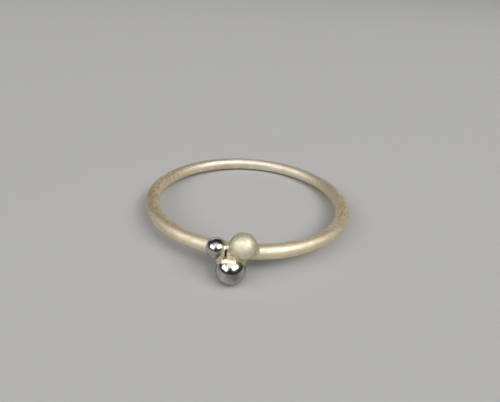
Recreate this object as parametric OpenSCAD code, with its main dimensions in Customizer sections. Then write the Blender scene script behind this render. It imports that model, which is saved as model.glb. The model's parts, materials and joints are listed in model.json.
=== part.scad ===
// Finger ring: a band of round wire with three balls soldered to its front.
// It lies on its side as it rests by itself, on the back of the band and the large ball.
// Millimetres. The front faces -Y, +Z is up, and the origin is the middle of the base.

/* [Band] */
// Inner diameter of the band, where the finger goes through
finger_d = 17.5; // [15:0.5:21]
// Diameter of the band's round wire
wire_d = 1.3; // [1.2:0.1:1.5]

/* [Large ball] */
// Diameter of the large polished ball
large_d = 2.4; // [2.3:0.1:2.6]
// How far its centre sits below the middle of the wire
large_drop = 0.75; // [0.7:0.05:0.8]

/* [Satin ball] */
// Diameter of the satin ball
satin_d = 2.2; // [2.1:0.1:2.3]
// How far its centre sits above the middle of the wire
satin_rise = 1.2; // [1.15:0.05:1.25]
// How far its centre sits to the right of the large ball's, seen from the front
satin_side = 0.8; // [0.75:0.05:0.85]

/* [Small ball] */
// Diameter of the small polished ball
small_d = 1.7; // [1.6:0.1:1.8]
// How far its centre sits above the middle of the wire
small_rise = 0.75; // [0.7:0.05:0.8]
// How far its centre sits to the left of the large ball's, seen from the front
small_side = 1.25; // [1.2:0.05:1.3]

/* [Solder] */
// How far each ball is sunk into the wire
seat = 0.08; // [0.06:0.01:0.1]
// Diameter of the solder that bridges the satin ball and the small one
bridge_d = 0.7; // [0.6:0.1:0.8]
// Diameter of the lump of solder in the hollow between the three balls
lump_d = 0.9; // [0.8:0.1:1]
// Diameter of the solder in the corner of the large ball, the satin one and the wire
corner_d = 1.1; // [1:0.1:1.2]

/* [Hidden] */
$fn = 96;

satin_silver = [0.80, 0.77, 0.70];
polished_silver = [0.86, 0.85, 0.83];
solder_silver = [0.84, 0.80, 0.66];

wire_r = wire_d / 2;
large_r = large_d / 2;
satin_r = satin_d / 2;
small_r = small_d / 2;
band_r = finger_d / 2 + wire_r;

// Distance from the ring's axis to the centre of a ball seated on the outside of the wire
function ball_out(r, rise) = band_r + sqrt(pow(r + wire_r - seat, 2) - pow(rise, 2));

// Point so far from the ring's axis, so far to the right of the large ball and so high
function at_front(out, side, rise) = [side, -sqrt(pow(out, 2) - pow(side, 2)), rise];

// Point where two balls meet
function meeting(a, r_a, b, r_b) = a + (b - a) * r_a / (r_a + r_b);

large_out = ball_out(large_r, large_drop);
large_at = at_front(large_out, 0, -large_drop);
satin_at = at_front(ball_out(satin_r, satin_rise), satin_side, satin_rise);
small_at = at_front(ball_out(small_r, small_rise), -small_side, small_rise);
wire_front = at_front(band_r + wire_r, 0, 0);

bridge_at = meeting(satin_at, satin_r, small_at, small_r);
large_satin_at = meeting(large_at, large_r, satin_at, satin_r);
large_small_at = meeting(large_at, large_r, small_at, small_r);
lump_at = (bridge_at + large_satin_at + large_small_at) / 3;
corner_at = (large_satin_at + at_front(band_r + wire_r, satin_side, 0)) / 2;

// The ring leans back until the large ball is as low as the back of the wire
lean_reach = norm([large_out + band_r, large_drop]);
lean = asin((large_r - wire_r) / lean_reach) + atan2(large_drop, large_out + band_r);
axis_z = band_r * sin(lean) + wire_r;
front_y = -large_out * cos(lean) - large_drop * sin(lean) - large_r;
back_y = band_r * cos(lean) + wire_r;
axis_y = -(front_y + back_y) / 2;

// The wire's seam is turned to the inside of the band, away from the balls
module band() {
    color(satin_silver) rotate_extrude() translate([band_r, 0]) rotate(180) circle(wire_r);
}

// A ball is turned so that its seam faces away from the wire and the other balls
module ball(at, r) {
    away = at - wire_front;
    translate(at) rotate([0, -asin(away.z / norm(away)), atan2(away.y, away.x)]) sphere(r);
}

module large_ball() {
    color(polished_silver) ball(large_at, large_r);
}

module satin_ball() {
    color(satin_silver) ball(satin_at, satin_r);
}

module small_ball() {
    color(polished_silver) ball(small_at, small_r);
}

// A bead of solder with its poles along the line between what it joins
module bead(at, d, along) {
    translate(at) rotate([0, acos(along.z / norm(along)), atan2(along.y, along.x)]) sphere(d = d);
}

module solder() {
    color(solder_silver) {
        bead(bridge_at, bridge_d, satin_at - small_at);
        bead(lump_at, lump_d, lump_at - wire_front);
        bead(corner_at, corner_d, satin_at - large_at);
    }
}

module soldered_ring() {
    translate([0, axis_y, axis_z]) rotate([-lean, 0, 0]) union() {
        band();
        large_ball();
        satin_ball();
        small_ball();
        solder();
    }
}

soldered_ring();
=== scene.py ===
import json
import math

import bpy
from mathutils import Matrix, Vector


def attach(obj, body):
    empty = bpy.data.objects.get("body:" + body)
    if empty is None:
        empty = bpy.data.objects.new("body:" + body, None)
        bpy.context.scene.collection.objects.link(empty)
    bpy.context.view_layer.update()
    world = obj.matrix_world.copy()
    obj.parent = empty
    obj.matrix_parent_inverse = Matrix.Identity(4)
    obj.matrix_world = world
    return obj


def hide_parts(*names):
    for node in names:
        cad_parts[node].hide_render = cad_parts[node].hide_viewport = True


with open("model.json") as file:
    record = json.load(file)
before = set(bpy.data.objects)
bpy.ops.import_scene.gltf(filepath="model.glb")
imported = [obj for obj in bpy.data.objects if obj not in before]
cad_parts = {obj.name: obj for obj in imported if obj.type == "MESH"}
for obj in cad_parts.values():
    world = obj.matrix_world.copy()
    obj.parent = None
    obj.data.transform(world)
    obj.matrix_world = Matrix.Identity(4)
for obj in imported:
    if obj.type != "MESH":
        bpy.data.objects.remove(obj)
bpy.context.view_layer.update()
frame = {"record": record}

MM = 0.001

# The band's place and sizes come from the frame's finger hole
finger_hole = next(mount for mount in frame["record"]["mounts"] if mount["name"] == "finger_hole")
band_centre = Vector(finger_hole["pos_m"])
lean = math.asin(finger_hole["axis"][1])

# From here on the ring is made in millimetres in its own frame, where the band lies level round
# the origin, its front with the balls faces -Y, and +Z runs along the finger
wire_r = finger_hole["dims"]["length_mm"] / 2
band_r = finger_hole["dims"]["r_mm"] + wire_r

# Each ball's radius, its height above the middle of the wire, and its place to the right
large_r, large_rise, large_side = 1.2, -0.75, 0.0
satin_r, satin_rise, satin_side = 1.1, 1.2, 0.8
small_r, small_rise, small_side = 0.85, 0.75, -1.25

# How far each ball is sunk into the wire
seat = 0.08


def ball_place(radius, rise, side):
    """The centre of a ball that is sunk a little into the outside of the wire."""
    out = band_r + math.sqrt((radius + wire_r - seat) ** 2 - rise ** 2)
    return Vector((side, -math.sqrt(out ** 2 - side ** 2), rise))


large_at = ball_place(large_r, large_rise, large_side)
satin_at = ball_place(satin_r, satin_rise, satin_side)
small_at = ball_place(small_r, small_rise, small_side)

# Fineness of the meshes
WIRE_SIDES = 48
BAND_STEPS = 360
BALL_SUBDIVISIONS = 6
BLOB_SUBDIVISIONS = 4

# Unevenness of hand work: size of the dents and their greatest depth
BAND_DENTS = (2.2, 0.016)
LARGE_DENTS = (1.3, 0.014)
SATIN_DENTS = (1.1, 0.020)
SMALL_DENTS = (1.0, 0.012)
SOLDER_DENTS = (0.35, 0.030)

# Blobs of solder: place and radius
BRIDGE = [((-0.42, -10.60, 0.97), 0.33)]
LIPS = [
    ((-0.18, -10.80, 0.70), 0.30),
    ((-0.70, -10.92, 0.80), 0.28),
    ((-0.76, -10.98, 0.46), 0.32),
]
SADDLE = [
    ((-0.92, -10.96, 0.02), 0.30),
    ((-0.58, -11.16, 0.13), 0.34),
    ((-0.22, -11.25, 0.20), 0.34),
    ((0.14, -11.32, 0.18), 0.32),
]
CORNER = [((0.60, -10.38, 0.13), 0.66), ((0.80, -10.62, 0.08), 0.38)]
HOLLOW = [((-0.28, -10.30, 0.58), 0.42)]
SEAT_BEADS = [((1.66, -9.80, 0.42), 0.33), ((-1.85, -9.75, 0.10), 0.30)]
BLOBS = BRIDGE + LIPS + SADDLE + CORNER + HOLLOW + SEAT_BEADS

# The slit between the small ball and the satin one, and the hook at its lower end: place, half
# size, and tilt to the side in degrees
SLIT_AT = Vector((-0.46, -10.95, 0.68))
SLITS = [
    (SLIT_AT, (0.048, 0.50, 0.38), 2),
    (SLIT_AT + Vector((-0.09, -0.15, -0.25)), (0.045, 0.45, 0.19), 38),
]

# The solder's skin is kept up to this X on each side, and up to this Y behind
SOLDER_HALF_WIDTH = 3.4
SOLDER_BACK = -7

# The skin's voxels and passes of smoothing, first to fill its creases, then to finish it
FILLING_VOXEL, FILLING_PASSES = 0.04, 80
FINISH_VOXEL, FINISH_PASSES = 0.03, 5

# Middles of the flush of solder over the balls, of the painted shade in the neck between the large
# ball and the satin ball, and of the painted highlight on the satin ball's side that faces the camera
CLUSTER_AT = Vector((0, -10.5, 0.3))
SHADED_NECK_AT = Vector((0.8, -10.7, 0.1))
SATIN_PAINTED_HIGHLIGHT_AT = satin_at + satin_r * Vector((-0.12, -0.80, 0.59))

# Soot in the slit: its middle and its reach to the side, in depth and in height
SOOT_AT = SLIT_AT + Vector((0, 0.15, 0))
SOOT_REACH = (0.10, 0.42, 0.34)

# Painted dark reflections, and painted shade in the neck, on the polished balls: place, reach and
# strength
PAINTED_SHADE_AND_DARK_REFLECTIONS = [
    (small_at + small_r * Vector((0.37, -0.06, 0.93)), 0.50, 0.75),
    (small_at + small_r * Vector((0.38, -0.91, -0.14)), 0.45, 0.90),
    (large_at + large_r * Vector((0.55, -0.32, 0.77)), 0.60, 0.60),
    (large_at + large_r * Vector((0.40, -0.90, 0.17)), 0.75, 0.75),
]

# Colours of the wire
WARM_WIRE = (0.90, 0.79, 0.58, 1)
PALE_WIRE = (0.97, 0.91, 0.75, 1)
# Painted highlight: the whiter colour given to the back of the wire
BACK_WIRE_PAINTED_HIGHLIGHT = (0.91, 0.85, 0.74, 1)
# Tarnish brown, also used as painted shade: it is kept thinner on the wire's rims so that they look lit
WIRE_TARNISH_AND_SHADE = (0.56, 0.38, 0.16, 1)
WIRE_EDGE = (0.70, 0.62, 0.48, 1)

# Colours of the satin ball
BRIGHT_SATIN = (0.98, 0.95, 0.78, 1)
DEEP_SATIN = (0.82, 0.76, 0.54, 1)
# Painted shade that darkens the satin ball away from its camera-facing side
SATIN_PAINTED_SHADE = (0.50, 0.43, 0.29, 1)
SATIN_EDGE = (0.50, 0.46, 0.36, 1)

# Colours of the polished balls
CLEAR_POLISH = (0.68, 0.67, 0.66, 1)
HAZY_POLISH = (0.44, 0.40, 0.36, 1)
POLISH_FLUSH = (0.86, 0.79, 0.58, 1)
# Painted dark reflections and shade on the polished balls
POLISH_PAINTED_DARK = (0.17, 0.15, 0.13, 1)
POLISH_EDGE = (0.48, 0.48, 0.46, 1)

# Colours of the solder
FRESH_SOLDER = (0.94, 0.89, 0.70, 1)
BROWN_SOLDER = (0.68, 0.57, 0.34, 1)
# Painted shade for the solder in the neck between the large ball and the satin ball
PAINTED_NECK_SHADE = (0.58, 0.54, 0.50, 1)
SOOT = (0.16, 0.13, 0.06, 1)

WHITE = (1, 1, 1, 1)

# The Mix node's sockets when it mixes colours
MIX_SHARE, MIX_FIRST, MIX_SECOND, MIX_RESULT = 0, 6, 7, 2

# Floor: its width in metres and its colour
FLOOR_WIDTH = 6
FLOOR_PALE = (0.47, 0.465, 0.455, 1)

# Softboxes: name, direction from the ring, width and height in metres, and watts
SOFTBOXES = [
    ("right_softbox", (0.60, -0.35, 0.72), 1.3, 0.65, 15),
    ("left_softbox", (-0.64, -0.50, 0.58), 1.4, 0.70, 9.7),
    ("overhead_softbox", (0.0, -0.30, 0.95), 1.6, 1.1, 7),
    ("back_softbox", (0.05, 0.96, 0.24), 2.8, 0.5, 4.2),
]
SOFTBOX_DISTANCE = 1.5

# The room's brightness at the horizon and overhead, and the height at which the fade between
# them ends, where 1 is straight up
HORIZON_BRIGHTNESS = 0.08
ROOM_BRIGHTNESS = 0.03
FADED_HEIGHT = 0.16


# Handling of pieces
def select_only(*pieces):
    bpy.ops.object.select_all(action="DESELECT")
    for piece in pieces:
        piece.select_set(True)
    bpy.context.view_layer.objects.active = pieces[0]


def fresh_piece(name):
    """Names the piece that an operator has just made."""
    piece = bpy.context.active_object
    piece.name = name
    piece.data.name = name
    return piece


def open_mesh(piece):
    """Goes into edit mode with everything selected."""
    select_only(piece)
    bpy.ops.object.mode_set(mode="EDIT")
    bpy.ops.mesh.select_all(action="SELECT")


def close_mesh():
    bpy.ops.object.mode_set(mode="OBJECT")


def joined(name, pieces):
    select_only(*pieces)
    bpy.ops.object.join()
    return fresh_piece(name)


def copy_of(piece):
    select_only(piece)
    bpy.ops.object.duplicate()
    return bpy.context.active_object


def finish_with(piece, kind, **settings):
    """Applies one modifier."""
    modifier = piece.modifiers.new(kind.lower(), kind)
    for key, value in settings.items():
        setattr(modifier, key, value)
    select_only(piece)
    bpy.ops.object.modifier_apply(modifier=modifier.name)


def worn(piece, dent_size, depth):
    """Gives a surface the slight unevenness of hand work, always inwards."""
    dents = bpy.data.textures.new(piece.name + "_dents", "CLOUDS")
    dents.noise_scale = dent_size
    dents.noise_depth = 1
    finish_with(piece, "DISPLACE", texture=dents, texture_coords="LOCAL", strength=depth, mid_level=1)


# The pieces
def wire_band():
    bpy.ops.object.select_all(action="DESELECT")
    bpy.ops.mesh.primitive_circle_add(
        vertices=WIRE_SIDES, radius=wire_r, location=(band_r, 0, 0), rotation=(math.pi / 2, 0, 0)
    )
    band = fresh_piece("band")
    bpy.ops.object.transform_apply()
    open_mesh(band)
    bpy.ops.mesh.spin(steps=BAND_STEPS, angle=2 * math.pi, center=(0, 0, 0), axis=(0, 0, 1))
    bpy.ops.mesh.select_all(action="SELECT")
    bpy.ops.mesh.remove_doubles(threshold=wire_r / 1000)
    bpy.ops.mesh.normals_make_consistent(inside=False)
    close_mesh()
    worn(band, *BAND_DENTS)
    return band


def round_piece(name, at, radius, subdivisions):
    bpy.ops.object.select_all(action="DESELECT")
    bpy.ops.mesh.primitive_ico_sphere_add(subdivisions=subdivisions, radius=radius, location=at)
    piece = fresh_piece(name)
    bpy.ops.object.transform_apply()
    return piece


def ball(name, at, radius, dents):
    piece = round_piece(name, at, radius, BALL_SUBDIVISIONS)
    worn(piece, *dents)
    return piece


def cut_off(piece, at, outwards):
    """Cuts away what lies beyond a plane and closes the cut."""
    open_mesh(piece)
    bpy.ops.mesh.bisect(plane_co=at, plane_no=outwards, clear_outer=True, use_fill=True)
    close_mesh()


def new_skin(piece, voxel, passes):
    """Remakes a piece's surface and smooths it."""
    finish_with(piece, "REMESH", mode="VOXEL", voxel_size=voxel)
    open_mesh(piece)
    bpy.ops.mesh.vertices_smooth(factor=0.5, repeat=passes)
    close_mesh()


def slit_in(solder, at, half_size, tilt):
    """Cuts a thin egg-shaped slit."""
    slit = round_piece("slit", (0, 0, 0), 1, BLOB_SUBDIVISIONS)
    slit.scale = half_size
    slit.rotation_euler = (0, math.radians(tilt), 0)
    slit.location = at
    bpy.ops.object.transform_apply()
    finish_with(solder, "BOOLEAN", operation="DIFFERENCE", object=slit, solver="MANIFOLD")
    bpy.data.objects.remove(slit)


def run_of_solder(pieces):
    """Copies of the pieces and some blobs become one skin, and smoothing fills its creases while
    it sinks everywhere else under the metal."""
    blobs = [round_piece("blob", at, radius, BLOB_SUBDIVISIONS) for at, radius in BLOBS]
    solder = joined("solder", [copy_of(piece) for piece in pieces] + blobs)
    cut_off(solder, (-SOLDER_HALF_WIDTH, 0, 0), (-1, 0, 0))
    cut_off(solder, (SOLDER_HALF_WIDTH, 0, 0), (1, 0, 0))
    cut_off(solder, (0, SOLDER_BACK, 0), (0, 1, 0))
    new_skin(solder, FILLING_VOXEL, FILLING_PASSES)
    for at, half_size, tilt in SLITS:
        slit_in(solder, at, half_size, tilt)
    new_skin(solder, FINISH_VOXEL, FINISH_PASSES)
    worn(solder, *SOLDER_DENTS)
    return solder


def soldered(band, others):
    """Fuses the pieces into one closed mesh in which each keeps its own metal."""
    for other in others:
        finish_with(
            band, "BOOLEAN", operation="UNION", object=other, solver="MANIFOLD", material_mode="TRANSFER"
        )
        bpy.data.objects.remove(other)
    return band


# Nodes of the materials
def new_material(name, roughness, metallic=1.0, edge=WHITE):
    """A material and its shader; edge tints what is reflected at a grazing angle."""
    material = bpy.data.materials.new(name)
    material.use_nodes = True
    shader = material.node_tree.nodes["Principled BSDF"]
    shader.inputs["Metallic"].default_value = metallic
    shader.inputs["Roughness"].default_value = roughness
    shader.inputs["Specular Tint"].default_value = edge
    return material, shader


def add(shader, kind, *inputs, **settings):
    """Adds a node to the shader's tree; an input is a value or another node's output."""
    tree = shader.id_data
    node = tree.nodes.new("ShaderNode" + kind)
    for key, value in settings.items():
        setattr(node, key, value)
    for socket, value in inputs:
        if isinstance(value, bpy.types.NodeSocket):
            tree.links.new(value, node.inputs[socket])
        else:
            node.inputs[socket].default_value = value
    return node


def into(shader, socket, value):
    shader.id_data.links.new(value, shader.inputs[socket])


def ring_position(shader):
    """Position in millimetres in the ring's own frame."""
    place = add(shader, "TexCoord")
    return add(
        shader, "Mapping", ("Vector", place.outputs["Object"]), ("Location", band_centre),
        ("Rotation", (-lean, 0, 0)), ("Scale", (MM, MM, MM)), vector_type="TEXTURE"
    ).outputs["Vector"]


def noise(shader, position, scale, detail, roughness=0.6):
    """Noise from 0 to 1, with about as many lumps to the millimetre as scale says."""
    return add(
        shader, "TexNoise", ("Vector", position), ("Scale", scale), ("Detail", detail),
        ("Roughness", roughness)
    ).outputs["Fac"]


def ranged(shader, value, between, to=(0.0, 1.0)):
    """Maps a value between two bounds to another range, and holds it beyond them."""
    return add(
        shader, "MapRange", ("Value", value), ("From Min", between[0]), ("From Max", between[1]),
        ("To Min", to[0]), ("To Max", to[1])
    ).outputs["Result"]


def maths(shader, operation, a, b=0.0):
    return add(shader, "Math", (0, a), (1, b), operation=operation).outputs["Value"]


def colour_mix(shader, share, first, second):
    return add(
        shader, "Mix", (MIX_SHARE, share), (MIX_FIRST, first), (MIX_SECOND, second), data_type="RGBA"
    ).outputs[MIX_RESULT]


def length_of(shader, vector):
    return add(shader, "VectorMath", (0, vector), operation="LENGTH").outputs["Value"]


def offset_from(shader, position, place):
    return add(shader, "VectorMath", (0, position), (1, place), operation="SUBTRACT").outputs["Vector"]


def distance_from(shader, position, place):
    return length_of(shader, offset_from(shader, position, place))


def set_bump(shader, height, depth_mm):
    bump = add(shader, "Bump", ("Height", height), ("Distance", depth_mm * MM), ("Strength", 1.0))
    into(shader, "Normal", bump.outputs["Normal"])


def along_the_wire(shader, position, stretch):
    """Position unrolled along the band, shortened along it so that a noise makes streaks."""
    parts = add(shader, "SeparateXYZ", ("Vector", position))
    x, y, z = (parts.outputs[axis] for axis in "XYZ")
    angle = maths(shader, "ARCTAN2", x, y)
    flat = add(shader, "CombineXYZ", ("X", x), ("Y", y))
    radius = length_of(shader, flat.outputs["Vector"])
    along = maths(shader, "MULTIPLY", angle, band_r / stretch)
    return add(shader, "CombineXYZ", ("X", along), ("Y", radius), ("Z", z)).outputs["Vector"]


# The metals
def satin_wire():
    material, shader = new_material("satin_wire", roughness=0.45, metallic=0.9, edge=WIRE_EDGE)
    position = ring_position(shader)
    unrolled = along_the_wire(shader, position, stretch=9)
    streaks = noise(shader, unrolled, scale=9, detail=4)
    scratches = noise(shader, along_the_wire(shader, position, stretch=22), scale=34, detail=3)
    mottling = noise(shader, position, scale=3.0, detail=3)
    dull = ranged(shader, maths(shader, "ADD", streaks, mottling), (0.72, 1.24), to=(1, 0))

    # The wire is browner towards the left and right ends, and least brown a little to the right of
    # the middle
    parts = add(shader, "SeparateXYZ", ("Vector", position))
    sideways = maths(shader, "ABSOLUTE", maths(shader, "SUBTRACT", parts.outputs["X"], 0.5))
    ends = ranged(shader, sideways, (3.0, 9.8), to=(0.30, 0.88))

    # The brown is painted thinner on the inner and outer side, a painted reflection that lightens them,
    # and there are a few wide patches of tarnish
    radius = add(shader, "SeparateXYZ", ("Vector", unrolled)).outputs["Y"]
    off_centre = maths(shader, "ABSOLUTE", maths(shader, "SUBTRACT", radius, band_r))
    painted_rim_light = ranged(shader, off_centre, (0.30, 0.62), to=(1, 0.5))
    wide_noise = noise(shader, position, scale=0.45, detail=2, roughness=0.5)
    patches = ranged(shader, wide_noise, (0.45, 0.75), to=(0, 0.22))
    tarnish_and_painted_shade = maths(shader, "MULTIPLY", maths(shader, "MULTIPLY", dull, ends), painted_rim_light)
    tarnish_and_painted_shade = maths(shader, "ADD", tarnish_and_painted_shade, patches)

    # The back of the band is painted a little whiter than its front, a painted highlight
    front_metal = colour_mix(shader, streaks, WARM_WIRE, PALE_WIRE)
    highlit_back = ranged(shader, parts.outputs["Y"], (2, 10))
    metal = colour_mix(shader, highlit_back, front_metal, BACK_WIRE_PAINTED_HIGHLIGHT)
    into(shader, "Base Color", colour_mix(shader, tarnish_and_painted_shade, metal, WIRE_TARNISH_AND_SHADE))
    into(shader, "Roughness", ranged(shader, dull, (0, 1), to=(0.42, 0.62)))
    relief = maths(shader, "ADD", maths(shader, "ADD", scratches, streaks), mottling)
    set_bump(shader, relief, depth_mm=0.02)
    return material


def satin_ball_metal():
    material, shader = new_material("satin_ball", roughness=0.50, metallic=0.9, edge=SATIN_EDGE)
    position = ring_position(shader)
    grain = noise(shader, position, scale=28, detail=3, roughness=0.65)
    mottling = noise(shader, position, scale=3.5, detail=3)
    waver = ranged(shader, mottling, (0.3, 0.7), to=(-0.15, 0.15))

    # Painted shade: the ball darkens towards its rims, away from the side that faces the camera, which
    # is left bright as a painted highlight
    from_painted_highlight = maths(shader, "ADD", distance_from(shader, position, SATIN_PAINTED_HIGHLIGHT_AT), waver)
    tarnish_and_painted_shade = ranged(shader, from_painted_highlight, (0.6, 1.7), to=(0, 0.8))
    metal = colour_mix(shader, ranged(shader, mottling, (0.35, 0.7)), BRIGHT_SATIN, DEEP_SATIN)
    into(shader, "Base Color", colour_mix(shader, tarnish_and_painted_shade, metal, SATIN_PAINTED_SHADE))
    into(shader, "Roughness", ranged(shader, mottling, (0.3, 0.7), to=(0.54, 0.64)))
    set_bump(shader, grain, depth_mm=0.015)
    return material


def near_solder(shader, position):
    """Where heat and solder have spread over the balls: 1 at the joints, 0 away from them."""
    waver = ranged(shader, noise(shader, position, scale=3.5, detail=3), (0.3, 0.7), to=(-0.12, 0.12))
    distance = maths(shader, "ADD", distance_from(shader, position, CLUSTER_AT), waver)
    return ranged(shader, distance, (1.08, 1.42), to=(1, 0))


def painted_dark_share(shader, position):
    """How much painted dark reflection and shade there is. A patch is full within a quarter of its reach
    and fades out from there, with ragged edges."""
    ragged = noise(shader, position, scale=4.5, detail=4, roughness=0.7)
    waver = ranged(shader, ragged, (0.3, 0.7), to=(-0.16, 0.16))
    share = 0
    for place, reach, strength in PAINTED_SHADE_AND_DARK_REFLECTIONS:
        distance = maths(shader, "ADD", distance_from(shader, position, place), waver)
        dark_patch = ranged(shader, distance, (reach / 4, reach), to=(strength, 0))
        share = maths(shader, "ADD", share, dark_patch)
    return share


def polished_metal(name, least_rough, most_rough):
    material, shader = new_material(name, least_rough, edge=POLISH_EDGE)
    position = ring_position(shader)
    haze = noise(shader, position, scale=1.6, detail=3)
    nicks = noise(shader, position, scale=18, detail=2, roughness=0.5)
    flush = near_solder(shader, position)
    metal = colour_mix(shader, ranged(shader, haze, (0.4, 0.75)), CLEAR_POLISH, HAZY_POLISH)
    metal = colour_mix(shader, flush, metal, POLISH_FLUSH)
    # Painted dark reflections and shade go into the colour here
    into(shader, "Base Color", colour_mix(shader, painted_dark_share(shader, position), metal, POLISH_PAINTED_DARK))
    rough = ranged(shader, haze, (0.35, 0.75), to=(least_rough, most_rough))
    flush_rough = maths(shader, "MULTIPLY", flush, 0.16)
    into(shader, "Roughness", maths(shader, "ADD", rough, flush_rough))
    set_bump(shader, nicks, depth_mm=0.0012)
    return material


def solder_metal():
    material, shader = new_material("solder", roughness=0.3, metallic=0.85)
    position = ring_position(shader)
    lumps = noise(shader, position, scale=5, detail=3)
    blotches = ranged(shader, noise(shader, position, scale=2.2, detail=3), (0.35, 0.7))
    metal = colour_mix(shader, blotches, FRESH_SOLDER, BROWN_SOLDER)
    # Painted shade: the solder is greyer in the neck between the large ball and the satin ball
    neck_shade = ranged(shader, distance_from(shader, position, SHADED_NECK_AT), (0.35, 1.0), to=(0.7, 0))
    metal = colour_mix(shader, neck_shade, metal, PAINTED_NECK_SHADE)

    # Soot fills an egg-shaped space round the slit
    from_soot = offset_from(shader, position, SOOT_AT)
    shrink = tuple(1 / reach for reach in SOOT_REACH)
    in_reaches = add(shader, "VectorMath", (0, from_soot), (1, shrink), operation="MULTIPLY")
    sooty = ranged(shader, length_of(shader, in_reaches.outputs["Vector"]), (0.75, 1.25), to=(1, 0))
    into(shader, "Base Color", colour_mix(shader, sooty, metal, SOOT))
    into(shader, "Roughness", ranged(shader, lumps, (0.3, 0.7), to=(0.24, 0.42)))
    set_bump(shader, lumps, depth_mm=0.02)
    return material


# Floor, lights, camera
def pale_floor():
    bpy.ops.object.select_all(action="DESELECT")
    bpy.ops.mesh.primitive_plane_add(size=FLOOR_WIDTH)
    floor = fresh_piece("floor")
    material, shader = new_material("pale_floor", roughness=0.85, metallic=0.0)
    shader.inputs["Base Color"].default_value = FLOOR_PALE
    floor.data.materials.append(material)


def softbox(name, direction, width, height, watts):
    at = band_centre + Vector(direction).normalized() * SOFTBOX_DISTANCE
    bpy.ops.object.light_add(type="AREA", location=at)
    lamp = bpy.context.active_object
    lamp.name = name
    lamp.data.shape = "RECTANGLE"
    lamp.data.size = width
    lamp.data.size_y = height
    lamp.data.energy = watts
    lamp.rotation_euler = (band_centre - at).to_track_quat("-Z", "Y").to_euler()


def camera():
    """The eye goes round the ring by the azimuth, up by the elevation, and looks at aim."""
    azimuth, elevation, roll = math.radians(4.88), math.radians(30.75), math.radians(3.97)
    aim = Vector((0.2234, 0.5892, 1.2807)) * MM
    distance = 39.545 * MM
    level = math.cos(elevation)
    away = Vector((math.sin(azimuth) * level, -math.cos(azimuth) * level, math.sin(elevation)))
    bpy.ops.object.camera_add(location=aim + away * distance)
    eye = bpy.context.active_object
    turned = (-away).to_track_quat("-Z", "Y").to_matrix().to_4x4() @ Matrix.Rotation(roll, 4, "Z")
    eye.rotation_euler = turned.to_euler()
    eye.data.lens = 28.44
    eye.data.sensor_width = 36
    eye.data.clip_start = 1 * MM
    bpy.context.scene.camera = eye


def dim_room():
    room = bpy.data.worlds.new("room")
    room.use_nodes = True
    background = room.node_tree.nodes["Background"]
    place = add(background, "TexCoord").outputs["Generated"]
    height = add(background, "SeparateXYZ", ("Vector", place)).outputs["Z"]
    fade = (HORIZON_BRIGHTNESS, ROOM_BRIGHTNESS)
    into(background, "Color", ranged(background, height, (0.0, FADED_HEIGHT), to=fade))
    bpy.context.scene.world = room
    bpy.context.scene.view_settings.view_transform = "Standard"


band = wire_band()
large_ball = ball("large_ball", large_at, large_r, LARGE_DENTS)
satin_ball = ball("satin_ball", satin_at, satin_r, SATIN_DENTS)
small_ball = ball("small_ball", small_at, small_r, SMALL_DENTS)
solder = run_of_solder([band, large_ball, satin_ball, small_ball])

metals = [
    (band, satin_wire()),
    (large_ball, polished_metal("large_polish", least_rough=0.14, most_rough=0.26)),
    (satin_ball, satin_ball_metal()),
    (small_ball, polished_metal("small_polish", least_rough=0.18, most_rough=0.30)),
    (solder, solder_metal()),
]
for piece, metal in metals:
    piece.data.materials.clear()
    piece.data.materials.append(metal)

silver_ring = soldered(band, [large_ball, satin_ball, small_ball, solder])
silver_ring.name = "silver_ring"
silver_ring.scale = (MM, MM, MM)
silver_ring.rotation_euler = (-lean, 0, 0)
silver_ring.location = band_centre
select_only(silver_ring)
bpy.ops.object.transform_apply()
bpy.ops.object.shade_smooth_by_angle(angle=math.radians(40))
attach(silver_ring, "root")
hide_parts("soldered_ring")

pale_floor()
for name, direction, width, height, watts in SOFTBOXES:
    softbox(name, direction, width, height, watts)
camera()
dim_room()
